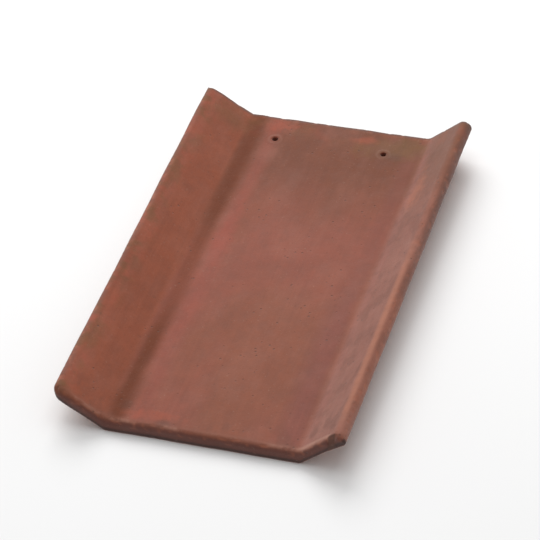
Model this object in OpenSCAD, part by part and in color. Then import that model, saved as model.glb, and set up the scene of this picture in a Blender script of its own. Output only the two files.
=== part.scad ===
// Trough-shaped clay roof tile: a flat pan between two upturned sides, fired in one piece.
// Foot at -Y, head at +Y, weather face up. It lies on the flat underside of its pan.
// Heights and thicknesses are taken straight up, so one tile nests in the next.

/* [Overall] */
// Length from foot to head
tile_len = 420; // [300:5:500]
// Width of the flat pan between the two bends
pan_w = 172; // [120:1:240]
// Thickness of the clay
clay_t = 13.3; // [9:0.1:18]

/* [Left side] */
// Run from the bend to the outer edge
left_run = 43; // [25:1:70]
// Slope of the side
left_slope = 35; // [15:1:50]
// Rounding of its outer edge on the weather face
left_edge_r = 5; // [2:0.5:5]
// Rounding of its outer edge on the underside
left_under_r = 2.5; // [1:0.5:4]

/* [Right side] */
// Run from the bend to the crest
right_run = 31.5; // [20:0.5:60]
// Slope of the side
right_slope = 40; // [15:1:50]
// Width of the flat crest
crest_w = 5.5; // [4:0.5:12]
// Run of the shoulder outside the crest
shoulder_run = 3.8; // [2:0.2:8]
// Drop of the shoulder
shoulder_drop = 5.3; // [3:0.1:8]
// Height of the thin outer edge below the shoulder
edge_h = 3.6; // [2:0.1:5]
// Run from the bend to where the underside flattens out
under_run = 22.5; // [12:0.5:30]

/* [Bends] */
// Radius of the bends on the weather face
bend_top_r = 10; // [4:0.5:20]
// Radius of the bends on the underside
bend_under_r = 5; // [2:0.5:12]
// Rounding of the crest and the thin edge
arris_r = 1.5; // [0.5:0.1:1.6]

/* [Foot and head] */
// Rounding of the top edge at the foot
foot_round = 4; // [1:0.5:6]
// Rounding of the top edge at the head
head_round = 2; // [1:0.5:4]
// Plan radius of the left foot corner
foot_corner_r = 8; // [2:1:15]
// Width of the notch at the foot, just inside the crest
notch_w = 6; // [3:0.5:10]
// How far the notch reaches in from the foot
notch_len = 3; // [1:0.5:8]
// Depth of the notch below the crest
notch_depth = 8; // [3:0.5:12]

/* [Nail holes] */
// Diameter of the nail holes
nail_d = 5.5; // [3:0.5:8]
// Distance between the nail holes
nail_gap = 104.5; // [60:0.5:110]
// Distance of the nail holes from the head
nail_from_head = 31.6; // [20:0.1:60]
// Offset of the pair from the middle of the pan, to the right
nail_shift = -1.8; // [-5:0.1:5]

/* [Hidden] */
arc_steps = 6;
round_sides = 48;
slack = 1;
// Most of the left edge that its upper rounding may take up
tip_share = 0.8;

// Places across the tile, counted from the left bend
crest_x = pan_w + right_run;
shoulder_x = crest_x + crest_w;
right_x = shoulder_x + shoulder_run;
left_x = -left_run;
tile_w = right_x - left_x;
mid_x = (left_x + right_x) / 2;

// Heights above the underside of the pan
left_z = left_run * tan(left_slope);
crest_z = clay_t + right_run * tan(right_slope);
shoulder_z = crest_z - shoulder_drop;
under_z = under_run * tan(right_slope);
tip_r = min(left_edge_r, tip_share * clay_t * tan(45 - left_slope / 2));

function unit(v) = v / norm(v);

// Arc of radius r that rounds the corner at b between the sides to a and c
function corner(a, b, c, r) =
    let (
        u = unit(a - b),
        v = unit(c - b),
        half = acos(u * v) / 2,
        m = b + unit(u + v) * r / sin(half),
        p = b + u * r / tan(half) - m,
        q = b + v * r / tan(half) - m,
        start = atan2(p.y, p.x),
        sweep = (atan2(q.y, q.x) - start + 540) % 360 - 180
    )
    [for (i = [0:arc_steps]) m + r * [cos(start + sweep * i / arc_steps), sin(start + sweep * i / arc_steps)]];

// Corners of the section, anticlockwise from the left bend of the underside.
// Each is [across, up, radius].
corners = [
    [0, 0, bend_under_r],
    [pan_w, 0, bend_under_r],
    [pan_w + under_run, under_z, bend_under_r],
    [right_x, shoulder_z - edge_h, arris_r],
    [right_x, shoulder_z, arris_r],
    [shoulder_x, crest_z, arris_r],
    [crest_x, crest_z, arris_r],
    [pan_w, clay_t, bend_top_r],
    [0, clay_t, bend_top_r],
    [left_x, left_z + clay_t, tip_r],
    [left_x, left_z, left_under_r]
];

function flat(c) = [c.x, c.y];

function section_points() =
    let (n = len(corners))
    [
        for (i = [0:n - 1])
            each corner(flat(corners[(i + n - 1) % n]), flat(corners[i]), flat(corners[(i + 1) % n]), corners[i].z)
    ];

// The section carried from foot to head
module body()
    translate([0, tile_len, 0])
        rotate([90, 0, 0])
            linear_extrude(height = tile_len)
                polygon(section_points());

// All that lies above a face through [x, z] near the end at y = 0, down to a round of radius r
module above_face(x, z, slope, r)
    translate([x, 0, z])
        rotate([0, -slope, 0])
            difference() {
                translate([-tile_w, -slack, -r])
                    cube([2 * tile_w, r + slack, tile_w]);
                translate([-tile_w - slack, r, -r])
                    rotate([0, 90, 0])
                        cylinder(r = r, h = 2 * (tile_w + slack), $fn = round_sides);
            }

// What the rounding takes off the top edge at y = 0: in the trough, where the three faces
// rise from each other, and over the crest
module end_rounding(r) {
    intersection() {
        above_face(0, clay_t, -left_slope, r);
        above_face(0, clay_t, 0, r);
        above_face(pan_w, clay_t, right_slope, r);
    }
    intersection() {
        above_face(crest_x, crest_z, 0, r);
        translate([pan_w, -tile_w, 0])
            cube([tile_w, 2 * tile_w, tile_w]);
    }
}

module nail_holes()
    for (side = [-1, 1])
        translate([pan_w / 2 + nail_shift + side * nail_gap / 2, tile_len - nail_from_head, -slack])
            cylinder(d = nail_d, h = clay_t + 2 * slack, $fn = round_sides);

// Small break in the end face, where the foot meets the crest
module crest_notch()
    translate([crest_x - notch_w, -slack, crest_z - notch_depth])
        cube([notch_w, notch_len + slack, notch_depth + slack]);

// What the rounding of the left foot corner takes off
module foot_corner()
    translate([left_x, 0, 0])
        difference() {
            translate([-slack, -slack, -slack])
                cube([foot_corner_r + slack, foot_corner_r + slack, left_z + clay_t + 2 * slack]);
            translate([foot_corner_r, foot_corner_r, -2 * slack])
                cylinder(r = foot_corner_r, h = left_z + clay_t + 4 * slack, $fn = round_sides);
        }

module roof_tile()
    color([0.58, 0.36, 0.30])
        translate([-mid_x, -tile_len / 2, 0])
            difference() {
                body();
                end_rounding(foot_round);
                translate([0, tile_len, 0])
                    mirror([0, 1, 0])
                        end_rounding(head_round);
                nail_holes();
                crest_notch();
                foot_corner();
            }

roof_tile();
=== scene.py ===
from math import cos, pi, radians, sin, tan

import bmesh
import bpy
from mathutils import Matrix, Vector, noise


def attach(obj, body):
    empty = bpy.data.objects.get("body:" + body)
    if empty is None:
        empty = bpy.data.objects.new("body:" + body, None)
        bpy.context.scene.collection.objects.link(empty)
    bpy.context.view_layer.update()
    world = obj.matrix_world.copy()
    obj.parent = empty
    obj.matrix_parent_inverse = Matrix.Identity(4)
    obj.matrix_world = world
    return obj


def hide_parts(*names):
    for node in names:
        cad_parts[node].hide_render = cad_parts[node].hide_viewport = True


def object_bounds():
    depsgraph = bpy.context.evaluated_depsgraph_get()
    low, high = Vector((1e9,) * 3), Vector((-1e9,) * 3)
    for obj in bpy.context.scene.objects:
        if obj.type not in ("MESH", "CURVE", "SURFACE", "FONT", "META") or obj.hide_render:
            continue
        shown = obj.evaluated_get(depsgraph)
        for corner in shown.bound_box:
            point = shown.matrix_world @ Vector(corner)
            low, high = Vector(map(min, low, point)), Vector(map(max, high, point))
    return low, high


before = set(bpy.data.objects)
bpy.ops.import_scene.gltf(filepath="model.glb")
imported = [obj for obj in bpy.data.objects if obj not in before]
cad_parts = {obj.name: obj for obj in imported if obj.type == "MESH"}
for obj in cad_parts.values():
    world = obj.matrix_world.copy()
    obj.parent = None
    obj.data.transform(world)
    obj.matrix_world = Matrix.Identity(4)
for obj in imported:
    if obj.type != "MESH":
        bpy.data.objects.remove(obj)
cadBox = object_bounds()
mm = 0.001
tileLength = (cadBox[1][1] - cadBox[0][1]) / mm  # from foot to head
print("frame loaded:", round(tileLength), "mm long")

# the tile in millimetres: across is counted from its left bend, along from its foot
tile = {
    "panWidth": 172, "thickness": 13.3,
    "leftRun": 43, "leftSlope": 35,
    "rightRun": 31.5, "rightSlope": 40, "underRun": 22.5,  # the underside flattens out after underRun
    "crestWidth": 5.5, "shoulderRun": 3.8, "shoulderDrop": 5.3, "edgeHeight": 3.6,
    # reach of each rounding in the section, each way
    "bendTop": 3.4, "bendUnder": 1.8, "crestSoft": 1.9, "shoulderSoft": 3.0,
    # shallow dip inside the left bend, which fills out at the head
    "valleyDip": 0.5, "valleyMiddle": 9, "valleyReach": 11,
    "headFill": 1.3, "headFillMiddle": 10, "headFillReach": 24, "headFillLength": 45,
    # arrises of the ends, rounder at the tip of the left side
    "footRound": 5.0, "footTipRound": 3.5, "footTipReach": 22,
    "headRound": 1.2, "headTipRound": 2.2, "headTipReach": 16,
    "lowerRound": 0.9,
    # arrises of the sides, each as its reach inwards and in height
    "leftUpper": (8.0, 9.2), "leftLower": (2.4, 3.0), "rightArris": (1.2, 5.32),
    # corners seen from above
    "leftCorner": 6.5, "otherCorners": 1.6,
    # break in the foot's edge: it fades towards the crest, and its sides are shares of its half width
    "notchWidth": 6.5, "notchLength": 2.4, "notchDepth": 4.2, "notchFade": 1.4,
    "notchOuter": 1.35, "notchWall": 0.8, "notchLowest": 4, "notchPush": 1.2, "notchPushReach": 2,
    # knocks along the arrises, down to chipLowest below the weather face
    "chipSize": 4.5, "chipRarity": 0.22, "chipWall": 0.12, "chipReach": 6.5, "chipDepth": 0.45,
    "chipLowest": 6, "chipRight": 3,
    # unevenness of the hand work, as heights and as the grain of each
    "warp": 0.35, "warpGrain": 140, "dents": 0.10, "dentGrain": 17, "fineDents": 0.5, "fineDentGrain": 6,
    "edgeWander": 0.45, "endReach": 12, "endGrain": 30, "sideReach": 10, "sideGrain": 45, "upGrain": 12,
    "cellsAcross": 150, "cellsAlong": 190, "cellsUp": 8,
}


def softRamp(distance, reach):  # 0 before a bend and the distance after it, eased over its reach
    if distance <= -reach:
        return 0.0
    if distance >= reach:
        return distance
    return (distance + reach) ** 2 / (4 * reach)


def ease(value, low, high):  # 0 up to low, 1 from high on
    share = min(max((value - low) / (high - low), 0.0), 1.0)
    return share * share * (3 - 2 * share)


def unevenness(point, grain, seed):  # from -1 to 1, in lumps of about the grain's size
    return noise.noise(point / grain + Vector(seed))


class Section:  # the tile cut across: heights of its two faces
    def __init__(self, size):
        self.size = size
        self.left = -size["leftRun"]
        self.crest = size["panWidth"] + size["rightRun"]
        self.shoulder = self.crest + size["crestWidth"]
        self.right = self.shoulder + size["shoulderRun"]
        self.middle = (self.left + self.right) / 2
        self.leftTan = tan(radians(size["leftSlope"]))
        self.rightTan = tan(radians(size["rightSlope"]))
        crestZ = size["thickness"] + size["rightRun"] * self.rightTan
        edgeZ = crestZ - size["shoulderDrop"] - size["edgeHeight"]
        lastUnder = size["panWidth"] + size["underRun"]
        self.outerTan = (edgeZ - size["underRun"] * self.rightTan) / (self.right - lastUnder)
        self.fallTan = size["shoulderDrop"] / size["shoulderRun"]

    def weatherFace(self, across):
        size = self.size
        fromValley = min(abs(across - size["valleyMiddle"]) / size["valleyReach"], 1)
        return (size["thickness"]
                + self.leftTan * softRamp(-across, size["bendTop"])
                + self.rightTan * softRamp(across - size["panWidth"], size["bendTop"])
                - self.rightTan * softRamp(across - self.crest, size["crestSoft"])
                - self.fallTan * softRamp(across - self.shoulder, size["shoulderSoft"])
                - size["valleyDip"] * (1 + cos(pi * fromValley)) / 2)

    def underside(self, across):
        size = self.size
        flatter = across - size["panWidth"] - size["underRun"]
        return (self.leftTan * softRamp(-across, size["bendUnder"])
                + self.rightTan * softRamp(across - size["panWidth"], size["bendUnder"])
                - (self.rightTan - self.outerTan) * softRamp(flatter, size["bendUnder"]))


section = Section(tile)


def roundOff(u, v, reachU, reachV):
    # u and v are the depths behind two faces that meet: the square corner becomes a round one
    a, b = 1 - u / reachU, 1 - v / reachV
    if a <= 0 or b <= 0:
        return u, v
    turn = a / b * pi / 4 if b >= a else pi / 2 - b / a * pi / 4
    far = max(a, b)
    return reachU * (1 - far * sin(turn)), reachV * (1 - far * cos(turn))


def roundArrises(inward, up, thick, upper, lower):
    # both arrises of one end or side: inward is the depth behind its face, up the height in the slab
    inward, depth = roundOff(inward, thick - up, *upper)
    return roundOff(inward, thick - depth, *lower)


def roundCorners(inward, y, atFoot, atHead):
    # the two corners of one side, seen from above
    inward, y = roundOff(inward, y, atFoot, atFoot)
    inward, back = roundOff(inward, tileLength - y, atHead, atHead)
    return inward, tileLength - back


def stations(stops, count):
    # stops pair a place with how closely the cells lie up to it: returns count + 1 places
    weights = [0.0]
    for (start, _), (end, density) in zip(stops, stops[1:]):
        weights.append(weights[-1] + (end - start) * density)
    places, stretch = [], 0
    for i in range(count + 1):
        goal = weights[-1] * i / count
        while stretch < len(stops) - 2 and goal > weights[stretch + 1]:
            stretch += 1
        start, (end, density) = stops[stretch][0], stops[stretch + 1]
        places.append(min(start + (goal - weights[stretch]) / density, end))
    return places


def makeSlab(size):
    # a cube cut into cells, with its corners at 0 and 1
    bm = bmesh.new()
    bmesh.ops.create_cube(bm, size=1, matrix=Matrix.Translation((0.5, 0.5, 0.5)))
    for axis, cells in enumerate((size["cellsAcross"], size["cellsAlong"], size["cellsUp"])):
        along = [e for e in bm.edges if abs(e.verts[0].co[axis] - e.verts[1].co[axis]) > 0.5]
        bmesh.ops.subdivide_edges(bm, edges=along, cuts=cells - 1, use_grid_fill=True)
    return bm


def shapeSlab(bm, size):
    # cells lie closest at the edges and bends, and the slab is rounded off before it is folded
    left, right, pan, thick = section.left, section.right, size["panWidth"], size["thickness"]
    across = stations([(left, 1), (left + 9, 1.1), (-5, 0.45), (5, 1.0), (pan - 5, 0.38),
                       (pan + 5, 1.0), (section.crest - 8, 0.5), (right, 1.6)], size["cellsAcross"])
    along = stations([(0, 1), (6, 1.6), (26, 0.8), (tileLength - 20, 0.38), (tileLength - 4, 0.7),
                      (tileLength, 1.6)], size["cellsAlong"])
    lower = size["lowerRound"], size["lowerRound"]
    corner = size["otherCorners"]
    for v in bm.verts:
        s = across[round(v.co.x * size["cellsAcross"])]
        y = along[round(v.co.y * size["cellsAlong"])]
        w = v.co.z * thick
        # foot and head
        footTip = ease(left + size["footTipReach"] - s, 0, size["footTipReach"])
        reach = size["footRound"] + size["footTipRound"] * footTip
        y, w = roundArrises(y, w, thick, (reach, reach), lower)
        headTip = ease(left + size["headTipReach"] - s, 0, size["headTipReach"])
        reach = size["headRound"] + size["headTipRound"] * headTip
        back, w = roundArrises(tileLength - y, w, thick, (reach, reach), lower)
        y = tileLength - back
        # left and right sides
        inward, w = roundArrises(s - left, w, thick, size["leftUpper"], size["leftLower"])
        s = left + inward
        inward, w = roundArrises(right - s, w, thick, size["rightArris"], size["rightArris"])
        s = right - inward
        inward, y = roundCorners(s - left, y, size["leftCorner"], corner)
        s = left + inward
        inward, y = roundCorners(right - s, y, corner, corner)
        s = right - inward
        # the fold, and the fuller bend at the head
        under, top = section.underside(s), section.weatherFace(s)
        fromFill = min(abs(s - size["headFillMiddle"]) / size["headFillReach"], 1)
        nearHead = ease(y, tileLength - size["headFillLength"], tileLength)
        top += size["headFill"] * (1 - fromFill) ** 2 * nearHead
        v.co = s, y, under + w / thick * (top - under)


def notchFoot(bm, size):
    # the foot's round edge breaks off just inside the crest
    half = size["notchWidth"] / 2
    for v in bm.verts:
        side = v.co.x - section.crest + half
        reach = half * size["notchFade"] if side > 0 else half
        lowest = section.underside(v.co.x) + size["notchLowest"]
        rise = ease(v.co.z, lowest, section.weatherFace(v.co.x))
        depth = ease(size["notchOuter"] - abs(side) / reach, 0, size["notchWall"]) * rise
        inFront = ease(size["notchLength"] + 1 - v.co.y, 0, size["notchLength"])
        atFace = ease(size["notchPushReach"] - v.co.y, 0, size["notchPushReach"])
        v.co.z -= size["notchDepth"] * depth * inFront
        v.co.y += size["notchPush"] * depth * atFace


def chipEdges(bm, size):
    # knocks along the arrises take off a little clay; "worn" tells the material where
    worn = bm.verts.layers.float.new("worn")
    for v in bm.verts:
        p = v.co
        if section.weatherFace(p.x) - p.z > size["chipLowest"]:
            continue
        toRight = max(section.right - size["chipRight"] - p.x, 0)
        toEdge = min(p.y, tileLength - p.y, p.x - section.left, toRight)
        knock = unevenness(p, size["chipSize"], (4.4, 1.9, 7.7)) - size["chipRarity"]
        nearEdge = ease(size["chipReach"] - toEdge, 0, size["chipReach"] - 1)
        v[worn] = ease(knock, 0, size["chipWall"]) * nearEdge
        v.co.z -= size["chipDepth"] * v[worn]


def handWork(bm, size):
    # slow warp of the slab, slight unevenness of its faces, and edges that wander
    endReach, sideReach = size["endReach"], size["sideReach"]
    for v in bm.verts:
        p = v.co.copy()
        slow = unevenness(p, size["warpGrain"], (3.1, 0.7, 0))
        fine = unevenness(p, size["dentGrain"], (0, 5.2, 1.3))
        finer = unevenness(p, size["fineDentGrain"], (9.2, 0.4, 4.3))
        v.co.z += size["warp"] * slow + size["dents"] * (fine + size["fineDents"] * finer)
        nearEnd = ease(endReach - p.y, 0, endReach) + ease(p.y - tileLength + endReach, 0, endReach)
        endWander = noise.noise(Vector((p.x / size["endGrain"], p.z / size["upGrain"], 8.8)))
        v.co.y += size["edgeWander"] * nearEnd * (endWander + 0.4 * fine)
        nearSide = (ease(section.left + sideReach - p.x, 0, sideReach)
                    + ease(p.x - section.right + sideReach, 0, sideReach))
        sideWander = noise.noise(Vector((p.y / size["sideGrain"], p.z / size["upGrain"], 2.2)))
        v.co.x += size["edgeWander"] * nearSide * sideWander


# the pair of nail holes, punched from the weather face: sizes in millimetres
nailHoles = {
    "diameter": 5.5, "gap": 104.5, "fromHead": 31.6, "shift": -1.8,
    "mouth": 0.6, "mouthSteps": 5, "sides": 40,  # the mouth is flared by this radius
    "below": 2, "above": 4,  # the punch reaches this far past the faces
    # clay that it pushed up
    "ringRadius": 5.4, "ringWidth": 1.5, "ringHeight": 0.28, "ringWander": 2.2, "ringGrain": 6,
    "ringEnd": 13.5, "ringLowest": 5,
    "fineReach": 12, "fineCuts": 3,  # finer cells around them
}


def holePlaces(size, holes):
    middle = size["panWidth"] / 2 + holes["shift"]
    y = tileLength - holes["fromHead"]
    return [Vector((middle + side * holes["gap"] / 2, y, 0)) for side in (-1, 1)]


def refineAround(bm, places, holes):
    edges = [e for e in bm.edges
             if any(all((v.co.xy - p.xy).length < holes["fineReach"] for v in e.verts) for p in places)]
    bmesh.ops.subdivide_edges(bm, edges=edges, cuts=holes["fineCuts"], use_grid_fill=True)


def raiseRings(bm, places, holes):
    for v in bm.verts:
        for p in places:
            away = (v.co.xy - p.xy).length
            if away < holes["ringEnd"] and v.co.z > holes["ringLowest"]:
                wander = holes["ringWander"] * unevenness(v.co, holes["ringGrain"], (1.5, 6.1, 0))
                offset = (away - holes["ringRadius"] + wander) / holes["ringWidth"]
                v.co.z += holes["ringHeight"] * (1 / (1 + offset * offset)) ** 2


def makePunch(place, size, holes):
    # a round bar with a flared end, turned from a few points
    bm = bmesh.new()
    radius, top, mouth = holes["diameter"] / 2, size["thickness"], holes["mouth"]
    outline = [(0, -holes["below"]), (radius, -holes["below"]), (radius, top - mouth)]
    for i in range(1, holes["mouthSteps"] + 1):
        turn = i / holes["mouthSteps"] * pi / 2
        outline.append((radius + mouth * (1 - cos(turn)), top - mouth + mouth * sin(turn)))
    outline += [(outline[-1][0], top + holes["above"]), (0, top + holes["above"])]
    verts = [bm.verts.new((x, 0, z)) for x, z in outline]
    edges = [bm.edges.new(pair) for pair in zip(verts, verts[1:])]
    bmesh.ops.spin(bm, geom=verts + edges, cent=(0, 0, 0), axis=(0, 0, 1), angle=2 * pi,
                   steps=holes["sides"], use_merge=True)
    bmesh.ops.remove_doubles(bm, verts=bm.verts, dist=1e-4)
    bmesh.ops.recalc_face_normals(bm, faces=bm.faces)
    bmesh.ops.translate(bm, verts=bm.verts, vec=place)
    return bm


def asObject(bm, name):
    mesh = bpy.data.meshes.new(name)
    bm.to_mesh(mesh)
    bm.free()
    piece = bpy.data.objects.new(name, mesh)
    bpy.context.scene.collection.objects.link(piece)
    return piece


def cutWith(piece, cutter):
    # takes the cutter's shape off the piece's own mesh
    cut = piece.modifiers.new("cut", "BOOLEAN")
    cut.object = cutter
    cut.operation = "DIFFERENCE"
    cut.solver = "EXACT"
    bpy.context.view_layer.update()
    shown = piece.evaluated_get(bpy.context.evaluated_depsgraph_get())
    done = bpy.data.meshes.new_from_object(shown)
    piece.modifiers.clear()
    piece.data = done
    bpy.data.objects.remove(cutter)


def makeTile(size, holes):
    bm = makeSlab(size)
    shapeSlab(bm, size)
    notchFoot(bm, size)
    chipEdges(bm, size)
    handWork(bm, size)
    print("slab shaped")
    places = holePlaces(size, holes)
    refineAround(bm, places, holes)
    raiseRings(bm, places, holes)
    low = min(v.co.z for v in bm.verts)
    home = Matrix.Scale(mm, 4) @ Matrix.Translation((-section.middle, -tileLength / 2, -low))
    bmesh.ops.transform(bm, matrix=home, verts=bm.verts)
    bmesh.ops.recalc_face_normals(bm, faces=bm.faces)
    piece = asObject(bm, "firedTile")
    for place in places:
        punch = makePunch(place, size, holes)
        bmesh.ops.transform(punch, matrix=home, verts=punch.verts)
        cutWith(piece, asObject(punch, "punch"))
    piece.data.polygons.foreach_set("use_smooth", [True] * len(piece.data.polygons))
    piece.data.materials.clear()
    return piece


class Flow:  # a socket that can be used in sums
    def __init__(self, finish, socket):
        self.finish, self.socket = finish, socket

    def math(self, operation, *values):
        return self.finish.node("Math", {"operation": operation}, dict(enumerate(values)))

    def __neg__(self):
        return self.math("MULTIPLY", -1, self)

    def __add__(self, other):
        return self.math("ADD", self, other)

    def __radd__(self, other):
        return self.math("ADD", other, self)

    def __sub__(self, other):
        return self.math("SUBTRACT", self, other)

    def __rsub__(self, other):
        return self.math("SUBTRACT", other, self)

    def __mul__(self, other):
        return self.math("MULTIPLY", self, other)

    def __rmul__(self, other):
        return self.math("MULTIPLY", other, self)

    def __truediv__(self, other):
        return self.math("DIVIDE", self, other)

    def __rtruediv__(self, other):
        return self.math("DIVIDE", other, self)

    def __pow__(self, other):
        return self.math("POWER", self, other)

    def __rpow__(self, other):
        return self.math("POWER", other, self)


class Finish:  # a material under construction
    def __init__(self, name):
        self.material = bpy.data.materials.new(name)
        self.material.use_nodes = True
        self.tree = self.material.node_tree
        self.shader = self.tree.nodes["Principled BSDF"]
        self.home = self.node("TexCoord", output="Object")

    def plug(self, entry, value):
        if isinstance(value, Flow):
            self.tree.links.new(value.socket, entry)
        else:
            entry.default_value = value

    def node(self, kind, settings=None, sockets=None, output=0):
        made = self.tree.nodes.new("ShaderNode" + kind)
        for key, value in (settings or {}).items():
            setattr(made, key, value)
        for key, value in (sockets or {}).items():
            self.plug(made.inputs[key], value)
        return Flow(self, made.outputs[output])

    def set(self, **sockets):
        for key, value in sockets.items():
            self.plug(self.shader.inputs[key.replace("_", " ")], value)

    def split(self, vector):
        first = self.node("SeparateXYZ", None, {0: vector})
        return [Flow(self, socket) for socket in first.socket.node.outputs]

    def between(self, value, low, high):  # 0 up to low, 1 from high on, eased
        return self.node("MapRange", {"interpolation_type": "SMOOTHSTEP"},
                         {"Value": value, "From Min": low, "From Max": high})

    def below(self, value, low, high):  # 1 up to low, 0 from high on, eased
        return self.between(-value, -high, -low)

    def band(self, value, low, high, soft):  # 1 from low to high, with soft ends
        return self.between(value, low - soft, low + soft) * self.below(value, high - soft, high + soft)

    def ragged(self, value, pattern, amount):  # lets an edge follow a pattern in and out
        return value + amount * (pattern - 0.5)

    def atLeast(self, value, least):
        return self.node("Math", {"operation": "MAXIMUM"}, {0: value, 1: least})

    def distance(self, aside, ahead):
        return (aside ** 2 + ahead ** 2) ** 0.5

    def stretched(self, across, along, up):
        return self.node("Mapping", None, {"Vector": self.home, "Scale": (across, along, up)})

    def noise(self, scale, detail, rough, vector=None):
        return self.node("TexNoise", None, {"Vector": vector or self.home, "Scale": scale,
                                            "Detail": detail, "Roughness": rough})

    def blend(self, mask, under, over):
        return self.node("Mix", {"data_type": "RGBA"}, {0: mask, 6: under, 7: over}, output=2)

    def scaled(self, colour, factor):
        return self.node("VectorMath", {"operation": "SCALE"}, {"Vector": colour, "Scale": factor})

    def bump(self, height, strength, distance, normal=None):
        sockets = {"Height": height, "Strength": strength, "Distance": distance}
        if normal:
            sockets["Normal"] = normal
        return self.node("Bump", None, sockets)


def bright(red, green, blue):  # a colour as it shows, turned into the linear values that nodes use
    return tuple(((c / 255 + 0.055) / 1.055) ** 2.4 for c in (red, green, blue)) + (1.0,)


clay = {
    # faces, from the pan outwards
    "pan": bright(132, 73, 57), "panBrown": bright(127, 72, 52), "panHead": bright(105, 57, 36),
    # the valley colour is painted shade inside the left bend, and also stains the nail holes' mouths
    "valley": bright(99, 50, 29), "besideValley": bright(140, 70, 56), "besideBend": bright(122, 69, 57),
    "leftSide": bright(134, 70, 46), "leftRim": bright(120, 70, 54), "besideRim": bright(146, 78, 56),
    "rightSide": bright(134, 83, 68), "rightHead": bright(112, 66, 44),
    # both colours on this line are painted highlights: along the right bend, and along the crest
    "bend": bright(142, 86, 72), "crest": bright(152, 98, 78),
    "outerFoot": bright(136, 80, 60), "outerHead": bright(98, 58, 44),
    # painted shade for the foot's face, then a painted highlight for the top of its round edge, then the
    # underside's own colour
    "footShade": bright(99, 59, 50), "arrisHighlight": bright(154, 108, 92), "underside": bright(152, 92, 68),
    # marks
    # the smoke colour marks kiln smoke and dark grains, and is also painted shade in the foot's break
    "flame": bright(152, 74, 52), "olive": bright(105, 72, 41), "smokeAndShade": bright(84, 56, 46),
    # the last colour of this line is painted shade for the foot's lowest edge
    "grey": bright(102, 76, 68), "grime": bright(110, 65, 50), "edgeShade": bright(62, 42, 38),
    "bloom": bright(146, 98, 84), "fresh": bright(164, 96, 70), "dust": bright(158, 128, 112),
    # a dry face with a low sheen
    "roughness": 0.7, "blotchRoughness": 0.25, "valleyRoughness": 0.3,
    "specular": 0.15, "sheen": 0.25, "sheenRoughness": 0.5,
    # how far each pattern lightens and darkens it
    "cloudShade": 0.35, "blotchShade": 0.25, "dragShade": 0.16,
    # relief, each as its strength and its height in metres
    "grainRelief": (0.3, 0.0005), "blotchRelief": (0.35, 0.0012), "pitRelief": (0.6, 0.0006),
}

# marks of the fire and of use in millimetres, each with its place, reach and colour
kilnStains = [
    {"across": 140, "along": 398, "wide": 32, "long": 20, "paint": "olive", "strength": 0.55},
    {"across": 158, "along": 402, "wide": 20, "long": 18, "paint": "olive", "strength": 0.5},
    {"across": 146, "along": 386, "wide": 10, "long": 7, "paint": "smokeAndShade", "strength": 0.4},
    {"across": 116, "along": 405, "wide": 12, "long": 6, "paint": "flame", "strength": 0.45},
    {"across": 33, "along": 408, "wide": 15, "long": 8, "paint": "flame", "strength": 0.5},
    {"across": 84, "along": 410, "wide": 18, "long": 10, "paint": "grime", "strength": 0.6},
    {"across": 183, "along": 335, "wide": 7, "long": 34, "paint": "fresh", "strength": 0.5},
    {"across": -16, "along": 400, "wide": 20, "long": 16, "paint": "olive", "strength": 0.4},
    {"across": 66, "along": 340, "wide": 16, "long": 22, "paint": "grime", "strength": 0.4},
    {"across": 112, "along": 305, "wide": 16, "long": 26, "paint": "grime", "strength": 0.3},
    {"across": 28, "along": 245, "wide": 9, "long": 45, "paint": "besideValley", "strength": 0.5},
    {"across": 40, "along": 14, "wide": 26, "long": 6, "paint": "flame", "strength": 0.35},
    {"across": 53, "along": 6, "wide": 9, "long": 5, "paint": "smokeAndShade", "strength": 0.6},
    {"across": 34, "along": 2, "wide": 36, "long": 2.2, "paint": "smokeAndShade", "strength": 0.45},
    {"across": 15, "along": 22, "wide": 7, "long": 8, "paint": "smokeAndShade", "strength": 0.35},
    {"across": -37, "along": 7, "wide": 6, "long": 8, "paint": "olive", "strength": 0.8},
    {"across": 32, "along": 368, "wide": 14, "long": 16, "paint": "bloom", "strength": 0.22},
]


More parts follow.
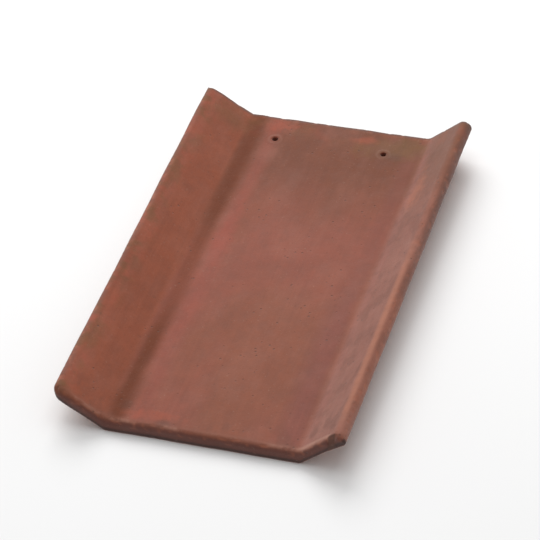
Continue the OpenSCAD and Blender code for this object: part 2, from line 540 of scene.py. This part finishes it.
class FiredClay(Finish):  # painted coat by coat, with masks in the tile's own millimetres
    def __init__(self, paints, size):
        super().__init__("firedClay")
        self.paints = paints
        x, y, z = self.split(self.home)
        self.across = x / mm + section.middle
        self.along = (y - cadBox[0][1]) / mm
        self.up = z / mm
        self.rightBend = size["panWidth"]
        self.broad = self.noise(9, 3, 0.5, self.stretched(1, 0.5, 1))  # slow drift along the pan
        self.cloud = self.noise(30, 4, 0.6)  # patches
        self.mottle = self.noise(100, 5, 0.65)  # blotches
        self.speck = self.noise(430, 3, 0.6)  # grains
        self.drag = self.noise(330, 3, 0.55, self.stretched(1, 0.03, 1))  # streaks from foot to head
        slowBend = self.noise(16, 3, 0.5, self.stretched(1, 0.6, 1))  # how the bends' colours stray
        self.wander = self.ragged(self.across, slowBend, 9)
        # the band inside the left bend that takes painted shade
        self.valley = self.band(self.ragged(self.wander, self.cloud, 5), 1.5, 16, 6)
        self.colour = self.blend(self.between(self.broad, 0.4, 0.62), paints["pan"], paints["panBrown"])

    def coat(self, mask, over):
        self.colour = self.blend(mask, self.colour, over)

    def paint(self, mask, name, strength=1):
        self.coat(mask * strength, self.paints[name])

    def paintPan(self):
        bend = self.rightBend
        towardHead = self.between(self.ragged(self.along, self.broad, 60), tileLength - 170, tileLength - 40)
        self.paint(towardHead, "panHead", strength=0.9)
        wide = self.band(self.wander, bend - 26, bend - 1, 8) * self.below(self.along, 140, 280)
        narrow = self.band(self.wander, bend - 17, bend - 3, 5)
        self.paint(0.7 * wide + 0.4 * narrow, "besideBend")

    def paintRightSide(self):
        bend = self.rightBend
        face = self.blend(self.between(self.along, tileLength - 170, tileLength - 20),
                          self.paints["rightSide"], self.paints["rightHead"])
        self.coat(self.between(self.ragged(self.across, self.cloud, 5), bend - 5, bend + 5), face)
        # painted highlight along the right bend
        self.paint(self.band(self.ragged(self.across, self.mottle, 4), bend + 1, bend + 8, 3.5), "bend",
                   strength=0.7)

    def paintLeftSide(self):
        left = section.left
        self.paint(self.band(self.wander, 21, 34, 7), "besideValley", strength=0.5)
        self.paint(self.below(self.across, -2.5, 4.5), "leftSide")
        fainter = 0.5 * self.band(self.along, 130, 250, 35)
        # painted shade along the valley inside the left bend, fainter midway along
        self.paint(self.valley * (0.95 - fainter + 0.6 * (self.cloud - 0.5)), "valley")
        besideRim = self.band(self.ragged(self.across, self.cloud, 5), left + 8, left + 14, 3)
        self.paint(besideRim, "besideRim", strength=0.6)
        self.paint(self.below(self.across, left + 3, left + 8), "leftRim")
        self.paint(self.below(self.across, left + 0.5, left + 2.5), "grey", strength=0.7)

    def paintShoulder(self):
        face = self.blend(self.between(self.along, 130, 300),
                          self.paints["outerFoot"], self.paints["outerHead"])
        outward = self.ragged(self.across, self.mottle, 1.2)
        self.coat(self.between(outward, section.shoulder - 2.5, section.shoulder + 3), face)

    def paintFlashes(self):
        # the kiln's flashes by the left edge and the head: red, then olive
        rim = self.below(self.across, section.left + 6, section.left + 24)
        rim = rim + 0.4 * self.between(self.along, tileLength - 42, tileLength - 10)
        flame = self.between(self.noise(65, 3, 0.5), 0.42, 0.66)
        self.paint(rim * flame, "flame", strength=0.6)
        olive = self.between(self.noise(55, 3, 0.5, self.stretched(-1, 1, 1)), 0.44, 0.66)
        self.paint(rim * olive, "olive", strength=0.6)

    def paintStains(self, stains):
        frayed = 1.6 * (self.mottle - 0.5) + 1.2 * (self.cloud - 0.5)
        for stain in stains:
            aside = (self.across - stain["across"]) / stain["wide"]
            ahead = (self.along - stain["along"]) / stain["long"]
            mark = self.between(1.3 - self.distance(aside, ahead) + frayed, 0, 1.1)
            self.paint(mark, stain["paint"], strength=stain["strength"])

    def paintDustAndGrime(self):
        # patches over the whole face, more of them on the right side
        onRight = self.between(self.across, self.rightBend - 4, self.rightBend + 6)
        dusty = self.between(self.noise(42, 4, 0.6, self.stretched(1, 0.6, 1)), 0.42, 0.7)
        dusty = dusty * (0.16 + 0.2 * onRight * self.below(self.along, 240, 360))
        self.paint(dusty * (1 - 0.7 * self.valley), "bloom")
        grimy = self.between(self.noise(66, 4, 0.6, self.stretched(1, 0.7, -1)), 0.46, 0.62)
        self.paint(grimy * (0.16 + 0.24 * self.below(self.along, 6, 40) + 0.3 * onRight), "grime")

    def paintCrest(self):
        # painted highlight along the crest, strongest near the foot
        crest = section.crest
        crestHighlight = self.band(self.ragged(self.across, self.mottle, 1.5), crest - 1.5, crest + 3.9, 2)
        self.paint(crestHighlight * self.below(self.along, 170, 280) * self.between(self.along, 2, 40), "crest")

    def paintHoles(self, places):
        # a faint paler ring round a stained mouth
        for hole in places:
            away = self.distance(self.across - hole.x, self.along - hole.y)
            away = self.ragged(away, self.mottle, 2)
            self.paint(self.band(away, 5.2, 7.0, 1.5), "dust", strength=0.14)
            self.paint(self.below(away, 2.2, 4.6), "valley", strength=0.6)
            self.paint(self.below(away, 2.5, 3.1), "flame", strength=0.8)

    def paintFoot(self):
        # grime behind the round edge, which has a painted highlight along it, and painted shade over the
        # face, deepest low down and in its break
        bend, crest = self.rightBend, section.crest
        footward = self.ragged(self.along, self.mottle, 1.4)
        self.paint(self.below(footward, 3, 10), "grime", strength=0.45)
        onRight = self.between(self.across, bend - 7, bend + 6)
        # painted highlight along the top of the foot's round edge, strongest on the right side
        arrisHighlight = self.band(footward, 2.4, 6.4, 1.6) * (0.1 + 0.7 * onRight)
        arrisHighlight = arrisHighlight + self.band(footward, 1.6, 4.6, 1.2) * self.between(self.cloud, 0.5, 0.6) * 0.45
        self.paint(arrisHighlight * self.below(self.across, crest - 7, crest - 3), "arrisHighlight")
        # painted shade over the foot's face
        self.paint(self.below(footward, 0.1, 2.2), "footShade")
        lifted = self.up - section.leftTan * self.atLeast(-self.across, 0)  # height above the underside
        lifted = lifted - section.rightTan * self.atLeast(self.across - bend, 0)
        # painted shade along the foot's lowest few millimetres, where it meets the floor
        shadedLow = self.below(self.ragged(lifted, self.mottle, 2), 2.4, 5.6) * self.below(self.along, 2, 3)
        self.paint(shadedLow, "edgeShade", strength=0.85)
        # painted shade in the break of the foot's edge
        shadeInBreak = self.band(self.across, crest - 6, crest, 0.8) * self.below(self.along, 3, 5)
        self.paint(shadeInBreak, "smokeAndShade", strength=0.7)

    def paintHead(self):
        headward = self.ragged(tileLength - self.along, self.mottle, 1.2)
        self.paint(self.below(headward, 1.5, 4.5), "grey", strength=0.75)

    def paintKnocks(self):
        # fresher clay where a knock took some off, less of it at the foot, the head and the crest
        worn = self.node("Attribute", {"attribute_name": "worn"}, output=2)
        freshness = 0.22 + 0.4 * self.between(self.along, 4, 14)
        freshness = freshness - 0.3 * self.between(self.along, tileLength - 30, tileLength - 15)
        towardCrest = self.between(self.across, self.rightBend + 18, self.rightBend + 28)
        freshness = freshness * (1 - 0.6 * towardCrest)
        self.paint(worn * freshness, "fresh")

    def paintUnderside(self):
        # it keeps the sand of its drying board
        facingUp = self.split(self.node("TexCoord", output="Normal"))[2]
        sand = self.between(self.mottle, 0.4, 0.7) * 0.4
        sandy = self.blend(sand, self.paints["underside"], self.paints["dust"])
        self.coat(self.below(facingUp, -0.7, -0.2), sandy)

    def paintGrains(self):
        # pits, in patches, and light and dark grains everywhere
        pits = self.node("TexVoronoi", None, {"Vector": self.home, "Scale": 150, "Randomness": 1})
        self.pit = self.below(pits, 0.09, 0.17) * self.between(self.cloud, 0.5, 0.6)
        self.paint(self.pit, "smokeAndShade", strength=0.5)
        self.paint(self.between(self.speck, 0.64, 0.74), "dust", strength=0.25)
        self.paint(self.below(self.speck, 0.28, 0.36), "smokeAndShade", strength=0.35)

    def shade(self):
        paints = self.paints
        shade = 1 + paints["cloudShade"] * (self.cloud - 0.5) + paints["blotchShade"] * (self.mottle - 0.5)
        shade = shade + paints["dragShade"] * (self.drag - 0.5)
        roughness = paints["roughness"] + paints["blotchRoughness"] * (self.mottle - 0.5)
        roughness = roughness + paints["valleyRoughness"] * self.valley
        self.set(Base_Color=self.scaled(self.colour, shade), Roughness=roughness)
        self.set(Specular_IOR_Level=paints["specular"])
        self.set(Sheen_Weight=paints["sheen"], Sheen_Roughness=paints["sheenRoughness"])

    def raiseRelief(self):
        # the clay's own fine grain, the blotches with the streaks over them, and the pits
        grain = self.bump(self.noise(900, 4, 0.65), *self.paints["grainRelief"])
        blotches = self.bump(self.mottle + 0.4 * self.drag, *self.paints["blotchRelief"], grain)
        self.set(Normal=self.bump(-self.pit, *self.paints["pitRelief"], blotches))


def makeClay(paints, size, holes):
    finish = FiredClay(paints, size)
    finish.paintPan()
    finish.paintRightSide()
    finish.paintLeftSide()
    finish.paintShoulder()
    finish.paintFlashes()
    finish.paintStains(kilnStains)
    finish.paintDustAndGrime()
    finish.paintCrest()
    finish.paintHoles(holePlaces(size, holes))
    finish.paintFoot()
    finish.paintHead()
    finish.paintKnocks()
    finish.paintUnderside()
    finish.paintGrains()
    finish.shade()
    finish.raiseRelief()
    return finish.material


studio = {
    "floorSize": 14, "floorPale": (0.82, 0.82, 0.82, 1), "floorDark": (0.78, 0.78, 0.78, 1),
    "floorRoughness": 0.9, "world": 0.5,
    "lights": {
        "windowLight": {"place": (-0.8, 1.6, 1.8), "size": 1.8, "power": 46},
        "overhead": {"place": (0.2, 0.3, 2.8), "size": 2.2, "power": 26},
    },
    # the camera looks at aim, in millimetres, from the distance in metres; its angles are in degrees
    "aim": (-3.2, 1.6, 13.3), "distance": 2.5215, "turn": 20.59, "height": 41.33, "roll": -5.13,
    "lens": 190.6, "sensor": 36,
}


def makeFloor(view):
    finish = Finish("floorPaint")
    clouds = finish.noise(3, 2, 0.5) * 0.3  # broad and faint
    finish.set(Base_Color=finish.blend(clouds, view["floorPale"], view["floorDark"]))
    finish.set(Roughness=view["floorRoughness"])
    bm = bmesh.new()
    bmesh.ops.create_grid(bm, x_segments=2, y_segments=2, size=view["floorSize"] / 2,
                          matrix=Matrix.Translation((0, 0, cadBox[0][2])))
    floor = asObject(bm, "studioFloor")
    floor.data.materials.append(finish.material)


def makeLight(name, light):  # a soft disk that faces the tile
    lamp = bpy.data.lights.new(name, "AREA")
    lamp.shape = "DISK"
    lamp.size = light["size"]
    lamp.energy = light["power"]
    holder = bpy.data.objects.new(name, lamp)
    bpy.context.scene.collection.objects.link(holder)
    holder.location = light["place"]
    holder.rotation_euler = (-Vector(light["place"])).to_track_quat("-Z", "Y").to_euler()


def makeWorld(strength):
    world = bpy.data.worlds.new("studio")
    world.use_nodes = True
    world.node_tree.nodes["Background"].inputs["Strength"].default_value = strength
    world.node_tree.nodes["Background"].inputs["Color"].default_value = (1, 1, 1, 1)
    bpy.context.scene.world = world
    bpy.context.scene.view_settings.view_transform = "Standard"


def makeCamera(view):
    turn, height, roll = (radians(view[key]) for key in ("turn", "height", "roll"))
    back = Vector((sin(turn) * cos(height), -cos(turn) * cos(height), sin(height)))
    lens = bpy.data.cameras.new("camera")
    lens.lens = view["lens"]
    lens.sensor_width = view["sensor"]
    camera = bpy.data.objects.new("camera", lens)
    bpy.context.scene.collection.objects.link(camera)
    facing = back.to_track_quat("Z", "Y").to_matrix().to_4x4()
    camera.matrix_world = (Matrix.Translation(Vector(view["aim"]) * mm + back * view["distance"])
                           @ facing @ Matrix.Rotation(roll, 4, "Z"))
    bpy.context.scene.camera = camera


firedTile = makeTile(tile, nailHoles)
print("tile made:", len(firedTile.data.polygons), "faces")
firedTile.data.materials.append(makeClay(clay, tile, nailHoles))
print("clay finished")
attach(firedTile, "root")
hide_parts("roof_tile")

makeFloor(studio)
makeWorld(studio["world"])
for lightName, light in studio["lights"].items():
    makeLight(lightName, light)
makeCamera(studio)
print("studio made")
